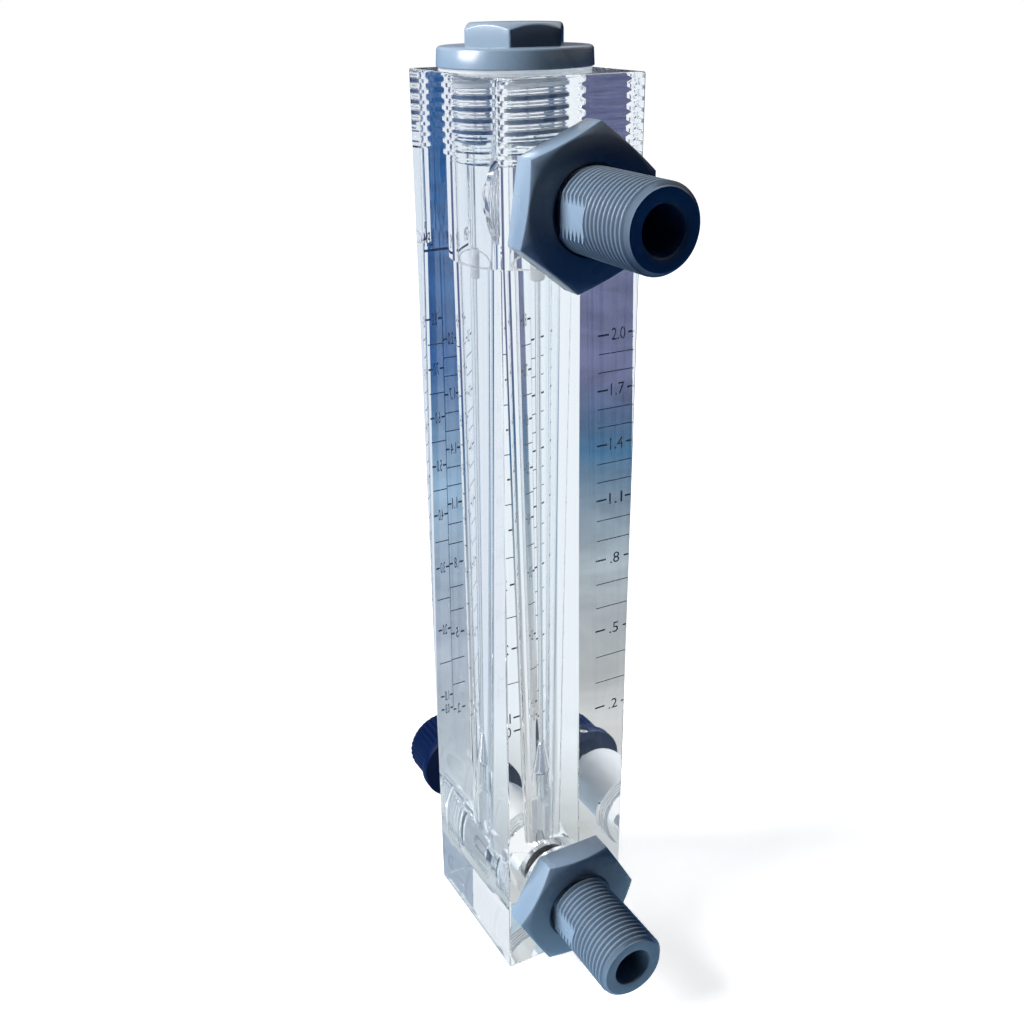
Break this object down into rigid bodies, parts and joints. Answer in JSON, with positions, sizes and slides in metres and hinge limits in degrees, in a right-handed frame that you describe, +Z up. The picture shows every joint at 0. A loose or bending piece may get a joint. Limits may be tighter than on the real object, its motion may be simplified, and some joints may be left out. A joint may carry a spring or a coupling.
{
  "type": "rotameter",
  "caption": "Panel flow meter: a clear block with a tapered bore and float, a needle valve with a knob in front and two threaded pipe connections at the rear.",
  "frame": {"origin": "middle of the clear block's flat bottom face", "axes": "+Z up along the bore, +Y out of the pipe connections at the rear, -Y towards the scale and the knob"},
  "size_m": [0.0324, 0.1024, 0.2186],
  "materials": {
    "clear_acrylic": "clear, polished",
    "grey_pvc": "satin, moulded",
    "black_plastic": "satin, moulded",
    "pale_acetal": "satin",
    "stainless_steel": "turned and polished",
    "clear_silicone": "soft, pale",
    "black_rubber": "soft, dark",
    "bright_chrome": "plated"
  },
  "bodies": {
    "meter_body": {"flow_block": "clear_acrylic", "top_plug": "grey_pvc", "top_plug_gasket": "clear_silicone", "guide_rod": "stainless_steel", "upper_float_stop": "pale_acetal", "lower_float_stop": "pale_acetal", "outlet_nipple": "grey_pvc", "outlet_nut": "grey_pvc", "outlet_washer": "clear_silicone", "outlet_end_seal": "clear_silicone", "inlet_nipple": "grey_pvc", "inlet_nut": "grey_pvc", "inlet_washer": "clear_silicone", "inlet_end_seal": "clear_silicone", "valve_bonnet": "pale_acetal", "bonnet_oring": "black_rubber", "gland_nut": "bright_chrome", "gland_packing": "pale_acetal"},
    "float": {"float": "stainless_steel"},
    "stem_seals": {"stem_orings": "black_rubber", "tip_seal": "black_rubber"},
    "valve_handle": {"valve_stem": "stainless_steel", "valve_knob": "black_plastic", "knob_grub_screw": "stainless_steel"}
  },
  "joints": [
    {"name": "float_rise", "type": "slide", "parent": "meter_body", "child": "float", "axis": [0, 0, 1], "range_m": [0, 0.115]},
    {"name": "stem_travel", "type": "slide", "parent": "meter_body", "child": "stem_seals", "axis": [0, -1, 0], "range_m": [0, 0.004]},
    {"name": "knob_turn", "type": "hinge", "parent": "stem_seals", "child": "valve_handle", "pos_m": [0, 0, 0.0185], "axis": [0, -1, 0], "range_deg": [0, 1440]}
  ],
  "couplings": [
    {"joint": "knob_turn", "follows": "stem_travel", "rad_per_m": 6283.2}
  ]
}
